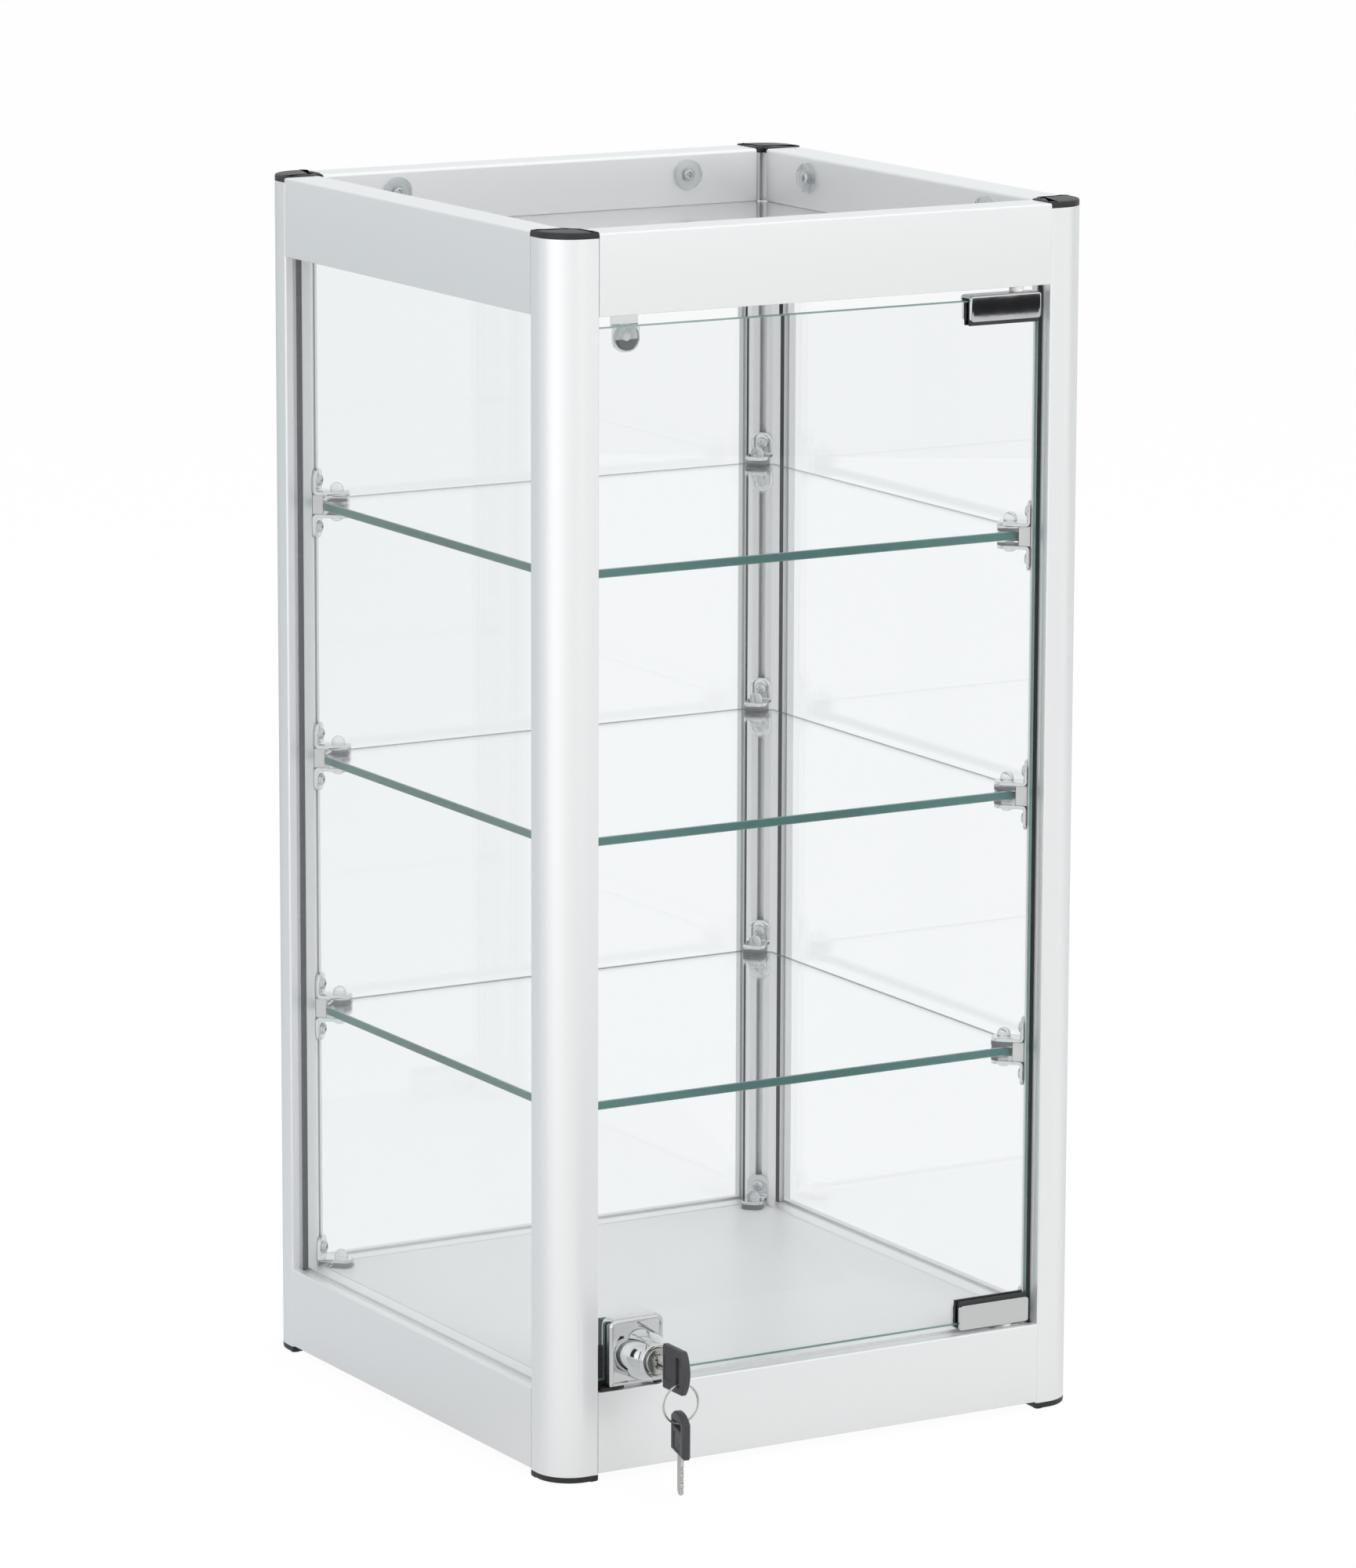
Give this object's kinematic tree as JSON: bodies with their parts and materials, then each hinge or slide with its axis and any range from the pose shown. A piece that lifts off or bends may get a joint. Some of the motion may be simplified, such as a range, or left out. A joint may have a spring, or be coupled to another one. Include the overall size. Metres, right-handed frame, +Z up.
{
  "type": "countertop display case",
  "caption": "Square glass tower display case with rounded aluminium corner posts, clamped glass shelves, a sunk glass top and a hinged glass door with cam lock and keys.",
  "frame": {"origin": "on the countertop, under the middle of the whole object's outline with the keys in the lock; the middle of the case itself is 32.4 mm behind it", "axes": "+X to the right along the door, +Y from the door to the back, +Z up"},
  "size_m": [0.355, 0.4198, 0.718],
  "materials": {
    "anodised_aluminium": "satin clear anodised extrusion",
    "black_plastic": "fine satin moulded plastic",
    "black_gasket": "matt extruded seal",
    "clear_glass": "clear float glass, ground edges",
    "shelf_glass": "clear float glass with green edges",
    "white_panel": "smooth white laminate",
    "chrome": "polished chrome plate",
    "zinc_steel": "zinc plated",
    "clear_vinyl": "clear soft vinyl",
    "white_nylon": "plain moulded nylon",
    "key_plastic": "fine grained moulded plastic",
    "nickel": "nickel plated"
  },
  "bodies": {
    "case": {"post_front_left": "anodised_aluminium", "post_front_right": "anodised_aluminium", "post_back_left": "anodised_aluminium", "post_back_right": "anodised_aluminium", "post_caps": "black_plastic", "post_feet": "black_plastic", "top_rail_front": "anodised_aluminium", "top_rail_right": "anodised_aluminium", "top_rail_back": "anodised_aluminium", "top_rail_left": "anodised_aluminium", "bottom_rail_front": "anodised_aluminium", "bottom_rail_right": "anodised_aluminium", "bottom_rail_back": "anodised_aluminium", "bottom_rail_left": "anodised_aluminium", "rail_connectors": "zinc_steel", "glass_right": "clear_glass", "glass_back": "clear_glass", "glass_left": "clear_glass", "pane_gaskets": "black_gasket", "tray_glass": "clear_glass", "floor_panel": "white_panel", "tray_discs": "clear_vinyl", "top_rail_screws": "zinc_steel", "floor_brackets": "chrome", "floor_pads": "clear_vinyl", "floor_screws": "zinc_steel", "hinge_bushes": "white_nylon", "stop_bracket": "chrome", "stop_bumper": "clear_vinyl"},
    "door": {"door_glass": "clear_glass", "hinge_clamp_top": "chrome", "hinge_clamp_bottom": "chrome", "hinge_liners": "black_gasket", "hinge_pins": "zinc_steel", "lock_case": "chrome", "lock_back_plate": "black_plastic", "lock_nut": "zinc_steel"},
    "lock_cylinder": {"lock_plug": "nickel", "lock_cam": "zinc_steel", "cam_screw": "zinc_steel"},
    "key": {"key_blade": "nickel", "key_head": "key_plastic"},
    "key_ring": {"key_ring": "nickel"},
    "spare_key": {"spare_key_blade": "nickel", "spare_key_head": "key_plastic"},
    "shelf_1": {"shelf_1_glass": "shelf_glass", "shelf_1_brackets": "chrome", "shelf_1_pads": "clear_vinyl", "shelf_1_spacers": "white_nylon", "shelf_1_screws": "zinc_steel"},
    "shelf_2": {"shelf_2_glass": "shelf_glass", "shelf_2_brackets": "chrome", "shelf_2_pads": "clear_vinyl", "shelf_2_spacers": "white_nylon", "shelf_2_screws": "zinc_steel"},
    "shelf_3": {"shelf_3_glass": "shelf_glass", "shelf_3_brackets": "chrome", "shelf_3_pads": "clear_vinyl", "shelf_3_spacers": "white_nylon", "shelf_3_screws": "zinc_steel"}
  },
  "joints": [
    {"name": "door_swing", "type": "hinge", "parent": "case", "child": "door", "pos_m": [0.132, -0.13509, 0.36], "axis": [0, 0, 1], "range_deg": [0, 120]},
    {"name": "lock_turn", "type": "hinge", "parent": "door", "child": "lock_cylinder", "pos_m": [-0.125, -0.13759, 0.074], "axis": [0, -1, 0], "range_deg": [0, 135]},
    {"name": "key_pull", "type": "slide", "parent": "lock_cylinder", "child": "key", "axis": [0, -1, 0], "range_m": [0, 0.015]},
    {"name": "ring_hang", "type": "hinge", "parent": "key", "child": "key_ring", "pos_m": [-0.125, -0.19709, 0.0632], "axis": [0, -1, 0], "range_deg": [-135, 0]},
    {"name": "spare_key_swing", "type": "hinge", "parent": "key_ring", "child": "spare_key", "pos_m": [-0.125, -0.19709, 0.04394], "axis": [1, 0, 0], "range_deg": [-40, 40]},
    {"name": "shelf_1_height", "type": "slide", "parent": "case", "child": "shelf_1", "axis": [0, 0, 1], "range_m": [-0.05, 0.05]},
    {"name": "shelf_2_height", "type": "slide", "parent": "case", "child": "shelf_2", "axis": [0, 0, 1], "range_m": [-0.05, 0.05]},
    {"name": "shelf_3_height", "type": "slide", "parent": "case", "child": "shelf_3", "axis": [0, 0, 1], "range_m": [-0.05, 0.05]}
  ],
  "couplings": [
    {"joint": "ring_hang", "follows": "lock_turn", "ratio": -1}
  ]
}
